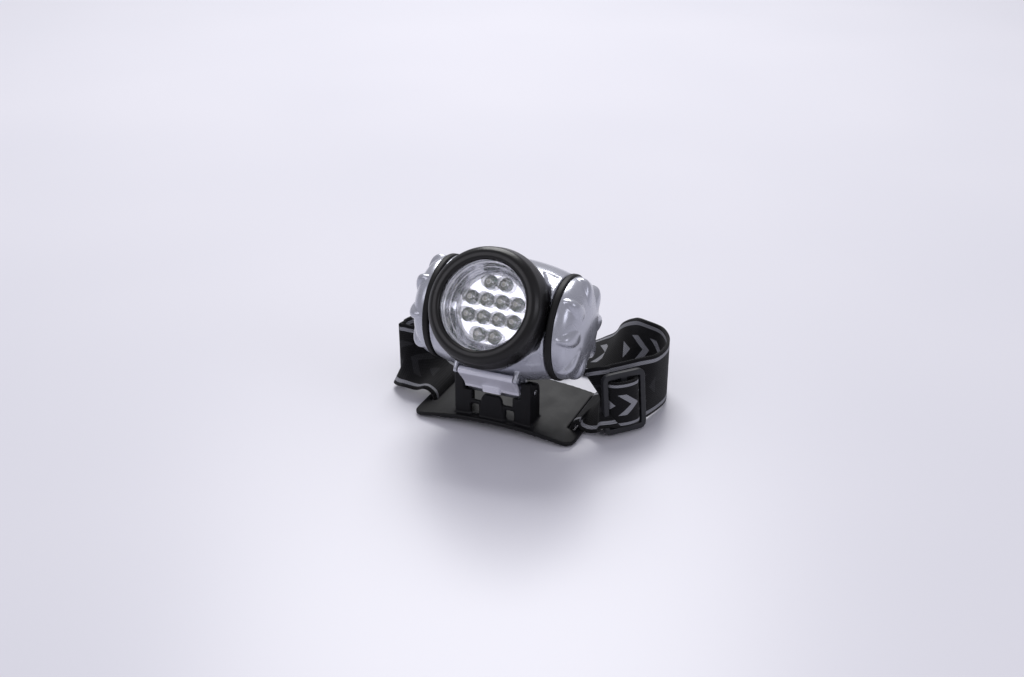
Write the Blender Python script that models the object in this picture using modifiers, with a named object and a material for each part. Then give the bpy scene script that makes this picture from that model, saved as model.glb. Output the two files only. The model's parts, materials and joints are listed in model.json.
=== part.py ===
"""Twelve-LED headlamp: barrel head on a tilting hinge, curved forehead plate and elastic strap.

Lengths are millimetres in the functions and are scaled to metres where a mesh is made.
The origin is the middle of the foam pad's inner face, +X runs along the barrel, +Z points away
from the forehead and the lamp shines towards -Y. Head pieces are drawn about the barrel's
middle with the beam along -Y, and the head empty then tilts them.
"""

import math

import bmesh
import bpy
from mathutils import Matrix, Vector

MM = 0.001
GAP = 0.3

# Forehead plate
PLATE_LENGTH = 65.0
PLATE_DEPTH = 40.0
PLATE_THICK = 1.5
PLATE_SAG = 3.4
PLATE_MID_Y = -3.0
PAD_THICK = 1.5
SLOT_X = 28.6
SLOT_WIDTH = 2.6
SLOT_LENGTH = 27.0

# Hinge posts and tongue
POST_GAP = 22.8
POST_WIDTH = 4.0
POST_FRONT_Y = -20.5
POST_TOP_Z = 20.2
STEP_WIDTH = 3.2
STEP_TOP_Z = 13.2
TONGUE_TOP_Z = 12.7

# Tilt hinge
HINGE_Y = -14.5
HINGE_Z = 14.2
KNUCKLE_R = 3.6
POST_BACK_R = 3.8
PIN_R = 1.1
HEAD_TILT = math.radians(-33.0)
BARREL_FORWARD = 7.18
BARREL_UP = 25.38

# Barrel
BARREL_R = 22.5
BARREL_HALF = 22.6
BARREL_WALL = 1.6
BARREL_FLAT = 16.6
SPLIT_Y = 3.0
RING_INNER_X = 22.9
RING_OUTER_X = 25.3
CAP_START_X = 25.5
CAP_POLE_X = 33.6
CAP_R = 19.0
CAP_NECK_R = 17.8
CAP_NECK_BORE = 17.1
RING_BORE = 18.0
RING_R = 19.8
RIB_COUNT = 8
RIB_RISE = 2.2
RIB_HALF_WIDTH = 3.6

# Front optics, measured forward of the barrel's middle
BEZEL_FRONT = 26.3
BEZEL_BACK = 15.5
BEZEL_FRONT_R = 20.6
BEZEL_BACK_R = 22.4
LENS_VIEW_R = 16.0
LENS_R = 18.8
LENS_FRONT = 24.6
LENS_THICK = 1.5
COLLAR_R = 19.4
COLLAR_BORE = 17.9
COLLAR_FRONT = 21.8
DRUM_R = 21.3
REFLECTOR_FRONT = 22.7
REFLECTOR_FLOOR = 13.6
BOARD_FRONT = 12.0
LED_PITCH_X = 6.0
LED_PITCH_Z = 6.4
LED_R = 2.5
LED_TIP = 20.6

# Cells
CELL_R = 5.25
CELL_LENGTH = 44.5
CELL_PLACES = [(9.7, 0.0), (4.0, 10.9), (4.0, -10.9)]

# Switch, set back from the top of the barrel
BUTTON_BACK = math.radians(25.0)
BUTTON_R = 3.8
BUTTON_TOP = 24.0

# Latch
LATCH_WIDTH = 21.8
LATCH_PIVOT = (-7.6, -23.1)
LATCH_ROLL_R = 1.35

# Strap
STRAP_WIDTH = 25.5
STRAP_THICK = 1.4
BUCKLE_PLACE = (45.3, -1.6, 10.6)
FLOOR_Z = PAD_THICK + GAP - PLATE_SAG

MODEL = "headlamp"


def clear_scene():
    for obj in list(bpy.data.objects):
        bpy.data.objects.remove(obj, do_unlink=True)
    for mesh in list(bpy.data.meshes):
        bpy.data.meshes.remove(mesh)


def collection(name):
    group = bpy.data.collections.new(name)
    bpy.context.scene.collection.children.link(group)
    return group


def material(name, colour, roughness, metallic=0.0, alpha=1.0):
    found = bpy.data.materials.get(name)
    if found:
        return found
    made = bpy.data.materials.new(name)
    made.use_nodes = True
    shader = made.node_tree.nodes["Principled BSDF"]
    shader.inputs["Base Color"].default_value = (*colour, 1.0)
    shader.inputs["Roughness"].default_value = roughness
    shader.inputs["Metallic"].default_value = metallic
    shader.inputs["Alpha"].default_value = alpha
    return made


def black_plastic():
    return material("black_plastic", (0.012, 0.012, 0.014), 0.45)


def silver_paint():
    return material("silver_paint", (0.50, 0.50, 0.56), 0.35, 0.7)


def rubber():
    return material("rubber", (0.015, 0.015, 0.016), 0.6)


def steel():
    return material("steel", (0.6, 0.6, 0.62), 0.25, 1.0)


def empty(name, parent, place, turn=0.0):
    made = bpy.data.objects.new(name, None)
    parts.objects.link(made)
    made.parent = parent
    made.location = Vector(place) * MM
    made.rotation_euler = (turn, 0.0, 0.0)
    return made


def add(name, bm, look, parent=None, group=None):
    """Turn a bmesh in millimetres into a named object."""
    bmesh.ops.transform(bm, matrix=Matrix.Scale(MM, 4), verts=bm.verts)
    mesh = bpy.data.meshes.new(name)
    bm.to_mesh(mesh)
    bm.free()
    obj = bpy.data.objects.new(name, mesh)
    (group or parts).objects.link(obj)
    obj.parent = parent
    mesh.shade_smooth()
    mesh.set_sharp_from_angle(angle=math.radians(35.0))
    if look:
        mesh.materials.append(look)
    return obj


def cutter(name, bm, parent=None):
    obj = add(name, bm, None, parent, cutters)
    obj.hide_render = True
    obj.display_type = "WIRE"
    return obj


def combine(obj, other, operation="DIFFERENCE", solver="EXACT"):
    modifier = obj.modifiers.new(other.name, "BOOLEAN")
    modifier.object = other
    modifier.operation = operation
    modifier.solver = solver


def round_edges(obj, width, segments=1):
    modifier = obj.modifiers.new("round_edges", "BEVEL")
    modifier.width = width * MM
    modifier.segments = segments
    modifier.limit_method = "ANGLE"
    modifier.angle_limit = math.radians(40.0)


def block(low, high):
    bm = bmesh.new()
    bmesh.ops.create_cube(bm, size=1.0)
    low = Vector(low)
    high = Vector(high)
    size = Matrix.Diagonal((*(high - low), 1.0))
    bmesh.ops.transform(bm, matrix=Matrix.Translation((low + high) / 2) @ size, verts=bm.verts)
    return bm


def cylinder(start, end, radius, segments=32):
    """A closed cylinder between two points."""
    start = Vector(start)
    run = Vector(end) - start
    bm = bmesh.new()
    place = Matrix.Translation(start + run / 2) @ run.to_track_quat("Z", "Y").to_matrix().to_4x4()
    bmesh.ops.create_cone(bm, cap_ends=True, segments=segments, radius1=radius, radius2=radius,
                          depth=run.length, matrix=place)
    return bm


def turned(outline, steps, axis="Y", closed=True):
    """Spin (distance along the axis, radius) points about the X or the -Y axis."""
    bm = bmesh.new()
    points = []
    for along, radius in outline:
        place = (along, 0.0, radius) if axis == "X" else (0.0, -along, radius)
        points.append(bm.verts.new(place))
    for first, second in zip(points, points[1:]):
        bm.edges.new((first, second))
    if closed:
        bm.edges.new((points[-1], points[0]))
    spin_axis = (1.0, 0.0, 0.0) if axis == "X" else (0.0, 1.0, 0.0)
    bmesh.ops.spin(bm, geom=bm.verts[:] + bm.edges[:], cent=(0, 0, 0), axis=spin_axis,
                   angle=2 * math.pi, steps=steps, use_merge=True, use_duplicate=False)
    bmesh.ops.remove_doubles(bm, verts=bm.verts, dist=0.001)
    loose = [edge for edge in bm.edges if not edge.link_faces]
    bmesh.ops.delete(bm, geom=loose, context="EDGES")
    bmesh.ops.recalc_face_normals(bm, faces=bm.faces)
    return bm


def extruded(outline, low, high, axis="X"):
    """A flat outline of (y, z) points along X, or of (x, z) points along Y, made a solid."""
    bm = bmesh.new()
    if axis == "X":
        ring = [bm.verts.new((low, a, b)) for a, b in outline]
        run = Vector((high - low, 0.0, 0.0))
    elif axis == "Y":
        ring = [bm.verts.new((a, low, b)) for a, b in outline]
        run = Vector((0.0, high - low, 0.0))
    else:
        ring = [bm.verts.new((a, b, low)) for a, b in outline]
        run = Vector((0.0, 0.0, high - low))
    face = bm.faces.new(ring)
    sides = bmesh.ops.extrude_face_region(bm, geom=[face])["geom"]
    moved = [item for item in sides if isinstance(item, bmesh.types.BMVert)]
    bmesh.ops.translate(bm, verts=moved, vec=run)
    bmesh.ops.recalc_face_normals(bm, faces=bm.faces)
    return bm


def arc(centre, radius, start, end, count):
    """Points on an arc, with angles in degrees."""
    found = []
    for index in range(count + 1):
        angle = math.radians(start + (end - start) * index / count)
        found.append((centre[0] + radius * math.cos(angle), centre[1] + radius * math.sin(angle)))
    return found


def sag(x):
    """How far the plate has curved down at a distance from its middle."""
    return PLATE_SAG * (2 * x / PLATE_LENGTH) ** 2


def curved_strip(half_length, low, high, low_y, high_y, count):
    """A strip that follows the plate's curve between two heights at its middle."""
    xs = [half_length * (2 * index / count - 1) for index in range(count + 1)]
    outline = [(x, low - sag(x)) for x in xs]
    outline += [(x, high - sag(x)) for x in reversed(xs)]
    return extruded(outline, low_y, high_y, "Y")


def rounded_rectangle(half_x, low_y, high_y, radius, count=4):
    corners = [(half_x, high_y, 0), (-half_x, high_y, 90), (-half_x, low_y, 180), (half_x, low_y, 270)]
    outline = []
    for x, y, start in corners:
        centre = (x - math.copysign(radius, x), y - radius if y == high_y else y + radius)
        outline += arc(centre, radius, start, start + 90, count)
    return outline


def add_base_plate():
    """Curved forehead plate, moulded in one with the hinge posts, steps and sprung tongue."""
    low_y = PLATE_MID_Y - PLATE_DEPTH / 2
    high_y = PLATE_MID_Y + PLATE_DEPTH / 2
    under = PAD_THICK + GAP
    plate = add("base_plate", curved_strip(PLATE_LENGTH / 2, under, under + PLATE_THICK,
                                           low_y, high_y, 15), black_plastic())
    trim = rounded_rectangle(PLATE_LENGTH / 2 + 0.01, low_y - 0.01, high_y + 0.01, 4.5)
    combine(plate, cutter("plate_corners", extruded(trim, FLOOR_Z - 2, under + 8, "Z")), "INTERSECT")
    for side in (-1, 1):
        slot = block((side * SLOT_X - SLOT_WIDTH / 2, 1 - SLOT_LENGTH / 2, FLOOR_Z - 2),
                     (side * SLOT_X + SLOT_WIDTH / 2, 1 + SLOT_LENGTH / 2, under + 4))
        combine(plate, cutter(f"strap_slot_{side}", slot))
    add_posts(plate, under + PLATE_THICK / 2)
    add_web(plate, under + PLATE_THICK / 2)
    bore = cylinder((-20, HINGE_Y, HINGE_Z), (20, HINGE_Y, HINGE_Z), PIN_R + GAP, 16)
    combine(plate, cutter("pin_bore", bore))


def add_posts(plate, foot):
    outline = [(POST_FRONT_Y, foot - 1.4), (POST_FRONT_Y, POST_TOP_Z), (POST_FRONT_Y + 1.1, POST_TOP_Z)]
    outline += arc((HINGE_Y, HINGE_Z), POST_BACK_R, 110, 0, 5)
    outline += [(HINGE_Y + POST_BACK_R, foot - 1.4)]
    groove = [(POST_FRONT_Y - 1, 17.6), (POST_FRONT_Y + 0.6, 17.6), (POST_FRONT_Y + 0.6, 18.3),
              (POST_FRONT_Y - 1, 18.3)]
    for side in (-1, 1):
        inner = side * POST_GAP / 2
        outer = side * (POST_GAP / 2 + POST_WIDTH)
        low, high = sorted((inner, outer))
        combine(plate, cutter(f"post_{side}", extruded(outline, low, high)), "UNION")
        combine(plate, cutter(f"post_groove_{side}", extruded(groove, low - 0.5, high + 0.5)))


def add_web(plate, foot):
    """Front wall between the posts, with the two windows, the side steps and the tongue."""
    half = POST_GAP / 2 + 0.5
    wall = block((-half, POST_FRONT_Y, foot), (half, -19.0, 9.2))
    combine(plate, cutter("web_wall", wall), "UNION")
    for side in (-1, 1):
        low, high = sorted((side * (half - STEP_WIDTH - 0.5), side * half))
        step = block((low, POST_FRONT_Y, foot), (high, -19.0, STEP_TOP_Z))
        combine(plate, cutter(f"step_{side}", step), "UNION")
        low, high = sorted((side * 5.4, side * 8.7))
        window = block((low, POST_FRONT_Y - 2, foot + 0.9), (high, -18.0, 7.6))
        combine(plate, cutter(f"window_{side}", window))
    shoulder = TONGUE_TOP_Z - 1.6
    tongue = [(-5.2, foot), (5.2, foot), (4.1, shoulder), (3.1, TONGUE_TOP_Z), (-3.1, TONGUE_TOP_Z),
              (-4.1, shoulder)]
    combine(plate, cutter("tongue", extruded(tongue, POST_FRONT_Y - 0.8, -19.3, "Y")), "UNION")


def add_pad():
    pad = curved_strip(22.0, 0.0, PAD_THICK, PLATE_MID_Y - 17.5, PLATE_MID_Y + 17.5, 11)
    add("forehead_pad", pad, material("foam", (0.03, 0.03, 0.032), 0.95))


def add_hinge_pin():
    reach = POST_GAP / 2 + POST_WIDTH - 0.1
    add("hinge_pin", cylinder((-reach, HINGE_Y, HINGE_Z), (reach, HINGE_Y, HINGE_Z), PIN_R, 16), steel())


def barrel_radius(x):
    return BARREL_R - 3.1 * (abs(x) / BARREL_HALF) ** 2.2


def barrel(wall, half):
    """The barrel's turned form, smaller by a wall, out to half its length each way."""
    count = 14
    xs = [half * (2 * index / count - 1) for index in range(count + 1)]
    outline = [(-half, 0.0)] + [(x, barrel_radius(x) - wall) for x in xs] + [(half, 0.0)]
    return turned(outline, 48, "X", closed=False)


def barrel_cavity(name, front, back):
    """The hollow in the barrel between two planes along the beam."""
    cavity = cutter(name, barrel(BARREL_WALL, BARREL_HALF + 1), barrel_middle)
    walls = cutter(f"{name}_limits", block((-40, front, -40), (40, back, 40)), barrel_middle)
    combine(cavity, walls, "INTERSECT")
    return cavity


def add_front_housing():
    housing = add("front_housing", barrel(0.0, BARREL_HALF), silver_paint(), barrel_middle)
    drum = cylinder((0, 1, 0), (0, -BEZEL_BACK, 0), DRUM_R, 48)
    combine(housing, cutter("drum", drum, barrel_middle), "UNION")
    seat = cylinder((0, -BEZEL_BACK + GAP, 0), (0, -30, 0), BEZEL_BACK_R + 0.7, 48)
    combine(housing, cutter("bezel_seat", seat, barrel_middle))
    collar = cylinder((0, -14, 0), (0, -COLLAR_FRONT, 0), COLLAR_R, 48)
    combine(housing, cutter("collar", collar, barrel_middle), "UNION")
    combine(housing, barrel_cavity("front_cavity", -13.0, 40.0))
    combine(housing, cutter("lamp_bore", cylinder((0, -6, 0), (0, -40, 0), COLLAR_BORE, 48), barrel_middle),
            solver="MANIFOLD")
    combine(housing, cutter("rear_half", block((-40, SPLIT_Y, -40), (40, 40, 40)), barrel_middle),
            solver="MANIFOLD")
    for side in (-1, 1):
        low, high = sorted((side * (LATCH_WIDTH / 2 + 0.3), side * (LATCH_WIDTH / 2 + 1.8)))
        pivot_y, pivot_z = LATCH_PIVOT
        lug = arc((pivot_y, pivot_z), 1.4, 180, 360, 6) + [(pivot_y + 1.4, -19.2), (pivot_y - 1.4, -19.2)]
        combine(housing, cutter(f"latch_lug_{side}", extruded(lug, low, high), barrel_middle), "UNION",
                "MANIFOLD")
    hole = cylinder((-15, *LATCH_PIVOT), (15, *LATCH_PIVOT), 0.9, 12)
    combine(housing, cutter("latch_pin_hole", hole, barrel_middle), solver="MANIFOLD")
    add_facets(housing)


def add_facets(housing):
    """Four sunken three-cornered panels, beside the bezel above and below."""
    corner = [(14.3, 5.2), (21.8, 4.2), (21.4, -5.5)]
    for side in (-1, 1):
        for height in (-1, 1):
            points = [(side * x, height * z) for x, z in corner]
            facet = extruded(points, -10.0, 0.0, "Y")
            lean = Matrix.Translation((side * 18.0, -19.9, 0)) @ Matrix.Rotation(math.radians(13 * side), 4, "Z")
            lean = lean @ Matrix.Translation((side * -18.0, 0, 0))
            turn = Matrix.Rotation(math.radians(-42.0 * height), 4, "X")
            bmesh.ops.transform(facet, matrix=turn @ lean, verts=facet.verts)
            combine(housing, cutter(f"facet_{side}_{height}", facet, barrel_middle), solver="MANIFOLD")


def add_rear_housing():
    housing = add("rear_housing", barrel(0.0, BARREL_HALF), silver_paint(), barrel_middle)
    pivot = (BARREL_FORWARD, -BARREL_UP)
    knuckle_half = POST_GAP / 2 - 0.4
    knuckle = cylinder((-knuckle_half, *pivot), (knuckle_half, *pivot), KNUCKLE_R, 24)
    combine(housing, cutter("knuckle", knuckle, barrel_middle), "UNION")
    neck = block((-knuckle_half + 1, pivot[0] - 3.0, pivot[1]), (knuckle_half - 1, pivot[0] + 3.4, -19.5))
    combine(housing, cutter("neck", neck, barrel_middle), "UNION")
    combine(housing, cutter("front_half", block((-40, -40, -40), (40, SPLIT_Y + GAP, 40)), barrel_middle))
    combine(housing, cutter("flat_back", block((-40, BARREL_FLAT, -40), (40, 40, 40)), barrel_middle))
    combine(housing, barrel_cavity("rear_cavity", -40, BARREL_FLAT - BARREL_WALL))
    bore = cylinder((-14, *pivot), (14, *pivot), PIN_R + GAP, 16)
    combine(housing, cutter("knuckle_bore", bore, barrel_middle))
    hole = cylinder(button_place(15.0), button_place(30.0), BUTTON_R + 0.4, 24)
    combine(housing, cutter("button_hole", hole, barrel_middle))


def button_place(radius):
    return (0.0, radius * math.sin(BUTTON_BACK), radius * math.cos(BUTTON_BACK))


def dome_line(start, pole, radius, count):
    """(x, radius) points from a dome's rim to its pole."""
    points = []
    for index in range(count + 1):
        run = math.sin(math.pi / 2 * index / count)
        points.append((start + (pole - start) * run, radius * max(0.0, 1 - run ** 2.4) ** 0.5))
    return points


def cap_radius(x):
    run = (x - CAP_START_X) / (CAP_POLE_X - CAP_START_X)
    return CAP_R * max(0.0, 1 - run ** 2.4) ** 0.5


def rib_height(run, offset):
    """Teardrop ribs: pointed by the seal, widest and tallest short of the pole, which stays plain."""
    reach = (run - 0.06) / 0.74
    if not 0.0 < reach < 1.0:
        return 0.0
    half_width = 0.3 + RIB_HALF_WIDTH * reach ** 0.8 * (1 - reach ** 8) ** 0.5
    crest = max(0.0, 1 - (offset / half_width) ** 2)
    return RIB_RISE * crest * 1.7 * reach * (1 - reach ** 5)


def add_end_cap(name, side):
    """A hollow dome with a plain neck that goes through the seal."""
    outline = [(RING_INNER_X + 0.1, CAP_NECK_BORE), (RING_INNER_X + 0.1, CAP_NECK_R),
               (CAP_START_X, CAP_NECK_R)]
    outline += dome_line(CAP_START_X, CAP_POLE_X, CAP_R, 9)
    inside = dome_line(CAP_START_X - 0.3, CAP_POLE_X - BARREL_WALL, CAP_NECK_BORE, 4)
    bm = turned(outline + inside[::-1], 48, "X")
    raise_ribs(bm)
    if side < 0:
        bmesh.ops.scale(bm, vec=(-1, 1, 1), verts=bm.verts)
        bmesh.ops.reverse_faces(bm, faces=bm.faces)
    cap = add(name, bm, silver_paint(), barrel_middle)
    combine(cap, cutter(f"{name}_flat", block((-50, BARREL_FLAT, -40), (50, 40, 40)), barrel_middle))


def raise_ribs(bm):
    for vert in bm.verts:
        distance = math.hypot(vert.co.y, vert.co.z)
        outside = vert.co.x > CAP_START_X and abs(distance - cap_radius(vert.co.x)) < 0.01
        if not outside or distance < 0.1:
            continue
        outward = (vert.co.x - CAP_START_X) / (CAP_POLE_X - CAP_START_X)
        inward = 1 - distance / CAP_R
        pitch = 2 * math.pi / RIB_COUNT
        turn = math.atan2(vert.co.y, vert.co.z) % pitch - pitch / 2
        lift = rib_height(0.75 * outward + 0.25 * inward, turn * distance)
        slope = Vector((0.35, vert.co.y / distance, vert.co.z / distance)).normalized()
        vert.co += slope * lift


def add_o_ring(name, side):
    middle = side * (RING_INNER_X + RING_OUTER_X) / 2
    half = (RING_OUTER_X - RING_INNER_X) / 2
    outline = [(middle - half, RING_BORE), (middle - half, RING_R - 0.7), (middle - half * 0.5, RING_R),
               (middle + half * 0.5, RING_R), (middle + half, RING_R - 0.7), (middle + half, RING_BORE)]
    add(name, turned(outline, 36, "X"), rubber(), barrel_middle)


def add_bezel():
    outline = [(BEZEL_FRONT - 1.5, LENS_VIEW_R), (BEZEL_FRONT - 0.7, LENS_VIEW_R + 0.1),
               (BEZEL_FRONT, LENS_VIEW_R + 1.3), (BEZEL_FRONT, BEZEL_FRONT_R - 1.6),
               (BEZEL_FRONT - 0.9, BEZEL_FRONT_R - 0.3), (BEZEL_FRONT - 2.4, BEZEL_FRONT_R + 0.5),
               (18.5, BEZEL_BACK_R), (BEZEL_BACK + 0.5, BEZEL_BACK_R), (BEZEL_BACK, BEZEL_BACK_R - 0.4),
               (BEZEL_BACK, COLLAR_R + 0.35), (COLLAR_FRONT, COLLAR_R + 0.35), (COLLAR_FRONT, 19.2),
               (BEZEL_FRONT - 1.5, 19.2)]
    add("bezel", turned(outline, 48), black_plastic(), barrel_middle)


def add_lens():
    back = LENS_FRONT - LENS_THICK
    outline = [(LENS_FRONT, 0), (LENS_FRONT, LENS_R - 0.3), (LENS_FRONT - 0.3, LENS_R),
               (back, LENS_R), (back, 0)]
    glass = material("clear_plastic", (0.95, 0.96, 1.0), 0.05, 0.0, 0.25)
    add("lens", turned(outline, 40, closed=False), glass, barrel_middle)


def add_lens_gasket():
    back = COLLAR_FRONT + 0.25
    front = LENS_FRONT - LENS_THICK - 0.25
    outline = [(back, 18.0), (front, 18.0), (front, 18.9), (back, 18.9)]
    add("lens_gasket", turned(outline, 32), rubber(), barrel_middle)


def led_places():
    """Rows of two, four, four and two, as (x, z)."""
    places = []
    for row, count in ((1.5, 2), (0.5, 4), (-0.5, 4), (-1.5, 2)):
        for index in range(count):
            places.append((LED_PITCH_X * (index - (count - 1) / 2), LED_PITCH_Z * row))
    return places


def add_reflector():
    floor = REFLECTOR_FLOOR
    outline = [(floor, 0), (floor, 14.4), (REFLECTOR_FRONT, 17.5), (REFLECTOR_FRONT, 16.7),
               (floor + 1.6, 13.9), (floor + 0.9, 13.2), (floor + 0.9, 0)]
    chrome = material("chrome", (0.85, 0.85, 0.87), 0.08, 1.0)
    cup = add("reflector", turned(outline, 36, closed=False), chrome, barrel_middle)
    holes = bmesh.new()
    for x, z in led_places():
        place = Matrix.Translation((x, -floor, z)) @ Matrix.Rotation(math.pi / 2, 4, "X")
        bmesh.ops.create_cone(holes, cap_ends=True, segments=10, radius1=LED_R + 0.35,
                              radius2=LED_R + 0.35, depth=6, matrix=place)
    combine(cup, cutter("led_holes", holes, barrel_middle))


def add_leds():
    base = BOARD_FRONT + GAP
    straight = LED_TIP - LED_R
    clear = material("led_epoxy", (0.85, 0.88, 0.95), 0.05, 0.0, 0.5)
    for number, (x, z) in enumerate(led_places(), 1):
        outline = [(base, 0), (base, LED_R + 0.1), (base + 1, LED_R + 0.1), (base + 1, LED_R),
                   (straight, LED_R)]
        dome = arc((straight, 0), LED_R, 90, 0, 3)
        outline += dome[1:]
        bm = turned(outline, 10, closed=False)
        bmesh.ops.translate(bm, verts=bm.verts, vec=(x, 0, z))
        add(f"led_{number:02d}", bm, clear, barrel_middle)


def add_led_board():
    green = material("circuit_board", (0.02, 0.12, 0.05), 0.5)
    board = cylinder((0, -BOARD_FRONT + 1.2, 0), (0, -BOARD_FRONT, 0), 16.0, 32)
    add("led_board", board, green, barrel_middle)


def add_switch():
    button_pivot = empty("button_pivot", barrel_middle, button_place(0.0), -BUTTON_BACK)
    outline = [(-19.6, 0), (-19.6, 4.6), (-20.1, 4.6), (-20.1, BUTTON_R), (-BUTTON_TOP + 0.5, BUTTON_R),
               (-BUTTON_TOP, BUTTON_R - 0.6), (-BUTTON_TOP, 0)]
    button = turned([(-along, radius) for along, radius in outline], 24, "X", closed=False)
    upright = Matrix.Rotation(-math.pi / 2, 3, "Y")
    bmesh.ops.rotate(button, cent=(0, 0, 0), matrix=upright, verts=button.verts)
    add("switch_button", button, rubber(), button_pivot)
    module = cylinder((0, 0, 17.5), (0, 0, 18.8), 2.4, 16)
    add("switch_module", module, black_plastic(), button_pivot)


def add_cells():
    start = -23.4
    for number, (y, z) in enumerate(CELL_PLACES, 1):
        outline = [(start, 0), (start, CELL_R - 0.4), (start + 0.4, CELL_R), (start + 43.2, CELL_R),
                   (start + 43.6, CELL_R - 0.6), (start + 43.6, 1.9), (start + CELL_LENGTH, 1.8),
                   (start + CELL_LENGTH, 0)]
        cell = turned(outline, 18, "X", closed=False)
        bmesh.ops.translate(cell, verts=cell.verts, vec=(0, y, z))
        jacket = material("cell_jacket", (0.10, 0.12, 0.16), 0.35, 0.4)
        add(f"battery_{number}", cell, jacket, barrel_middle)
        add_spring(f"battery_spring_{number}", start + CELL_LENGTH + 0.7, 24.1, y, z)


def add_spring(name, low, high, y, z):
    """A conical contact spring along the cell's axis."""
    turns = 3
    points = 9 * turns
    curve = bpy.data.curves.new(name, "CURVE")
    curve.dimensions = "3D"
    curve.bevel_depth = 0.3 * MM
    curve.bevel_resolution = 2
    curve.use_fill_caps = True
    spline = curve.splines.new("POLY")
    spline.points.add(points)
    for index, point in enumerate(spline.points):
        run = index / points
        angle = 2 * math.pi * turns * run
        radius = 1.5 + 1.9 * run
        place = (low + (high - low) * run, y + radius * math.cos(angle), z + radius * math.sin(angle))
        point.co = (*(Vector(place) * MM), 1.0)
    spring = bpy.data.objects.new(name, curve)
    parts.objects.link(spring)
    spring.parent = barrel_middle
    curve.materials.append(steel())


def add_contacts():
    """Nickel plates that join the cells' ends."""
    for name, start in (("contact_plate_left", -24.1), ("contact_plate_right", 24.6)):
        plate = add(name, cylinder((start, 0, 0), (start + 0.4, 0, 0), 16.6, 32), steel(), barrel_middle)
        combine(plate, cutter(f"{name}_trim", block((-40, -40, -40), (40, -1.5, 40)), barrel_middle))


def add_tray():
    tray = add("battery_tray", block((-21, -3.2, -13), (21, -1.7, 13)), black_plastic(), barrel_middle)
    round_edges(tray, 0.5)


def add_latch():
    """Silver snap latch that hangs from its pin behind the bezel, with a thumb tab at its lip."""
    pivot_y, pivot_z = LATCH_PIVOT
    latch_pivot = empty("latch_pivot", barrel_middle, (0.0, *LATCH_PIVOT))
    outer = arc(LATCH_PIVOT, LATCH_ROLL_R, 80, 250, 7) + [(-1.6, -26.2), (0.8, -27.2), (2.0, -28.2)]
    inner = [(2.9, -27.6), (1.6, -26.1), (-0.7, -24.7), (-2.5, -24.0), (-4.5, -23.5), (-6.3, -22.8)]
    half = LATCH_WIDTH / 2
    outline = [(y - pivot_y, z - pivot_z) for y, z in outer + inner]
    latch = add("case_latch", extruded(outline, -half, half), silver_paint(), latch_pivot)
    tab = [(-0.6, -26.1), (0.4, -27.6), (1.9, -29.0), (2.9, -28.9), (2.6, -27.5), (1.0, -26.4)]
    tab_outline = [(y - pivot_y, z - pivot_z) for y, z in tab]
    combine(latch, cutter("thumb_tab", extruded(tab_outline, -3.6, 3.6), latch_pivot), "UNION")
    combine(latch, cutter("latch_bore", cylinder((-12, 0, 0), (12, 0, 0), 0.75, 12), latch_pivot))
    add("latch_pin", cylinder((-12.6, *LATCH_PIVOT), (12.6, *LATCH_PIVOT), 0.55, 12), steel(), barrel_middle)


# The strap's middle line as (x, y, height above the table) with the direction of its width.
STRAP_LEFT = [
    (-28.4, 1.0, 1.2, 0, 1, 0), (-29.4, 1.0, 4.2, 0, 1, 0), (-33.0, 1.0, 6.0, 0, 1, 0),
    (-37.0, 0.8, 7.6, 0, 0.95, 0.3), (-42.0, 0.2, 10.8, 0, 0.7, 0.7), (-46.0, -0.6, 13.0, 0, 0.2, 0.98),
    (-48.6, 0.2, 13.2, 0, 0, 1), (-48.4, 3.0, 13.2, 0, 0, 1), (-46.4, 7.0, 12.8, -0.3, 0, 0.95),
    (-44.2, 13.0, 9.6, -0.7, 0.1, 0.7), (-43.4, 20.0, 5.6, -0.92, 0.1, 0.36),
    (-43.0, 28.0, 1.8, -0.97, 0.2, 0), (-41.0, 36.0, 3.5, -0.75, 0.66, 0), (-36.0, 42.0, 6.5, -0.4, 0.92, 0),
]
STRAP_RIGHT = [
    (18.0, 45.0, 4.2, 0.2, 0.9, 0.3), (26.0, 43.5, 8.2, 0.35, 0.65, 0.62),
    (34.0, 42.6, 11.2, 0.25, 0.4, 0.86), (41.5, 41.0, 13.0, 0, 0, 1), (47.2, 37.6, 13.2, 0, 0, 1),
    (51.6, 31.0, 13.2, 0, 0, 1), (53.4, 23.0, 13.2, 0, 0, 1), (52.0, 14.5, 13.2, 0, 0, 1),
    (48.2, 8.0, 13.2, -0.1, 0.1, 0.99), (43.6, 3.0, 12.9, -0.12, 0.11, 0.986),
    (39.4, -1.6, 12.9, -0.12, 0.11, 0.986), (37.4, -3.4, 12.9, -0.05, 0.14, 0.985),
    (36.2, -1.4, 9.6, -0.2, 0.85, 0.45), (33.4, 0.8, 6.4, 0, 1, 0.04), (29.4, 1.0, 4.4, 0, 1, 0),
    (28.4, 1.0, 1.2, 0, 1, 0),
]
STACK_Y = 46.0
STACK_LEFT_X = -33.0
STACK_RIGHT_X = 6.0
STACK_PITCH = 1.8
STACK_LAYERS = 5


def strap_stack():
    """The spare length, folded flat in layers behind the lamp, from the top layer down."""
    points = []
    for layer in reversed(range(STACK_LAYERS)):
        height = 0.95 + STACK_PITCH * layer
        run = [STACK_LEFT_X, (STACK_LEFT_X + STACK_RIGHT_X) / 2, STACK_RIGHT_X]
        if layer % 2:
            run.reverse()
        points += [(x, STACK_Y, height, 0, 1, 0) for x in run]
        if layer:
            turn_x = run[-1] + math.copysign(1.3, run[-1] - run[0])
            points.append((turn_x, STACK_Y, height - STACK_PITCH / 2, 0, 1, 0))
    return points


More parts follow.
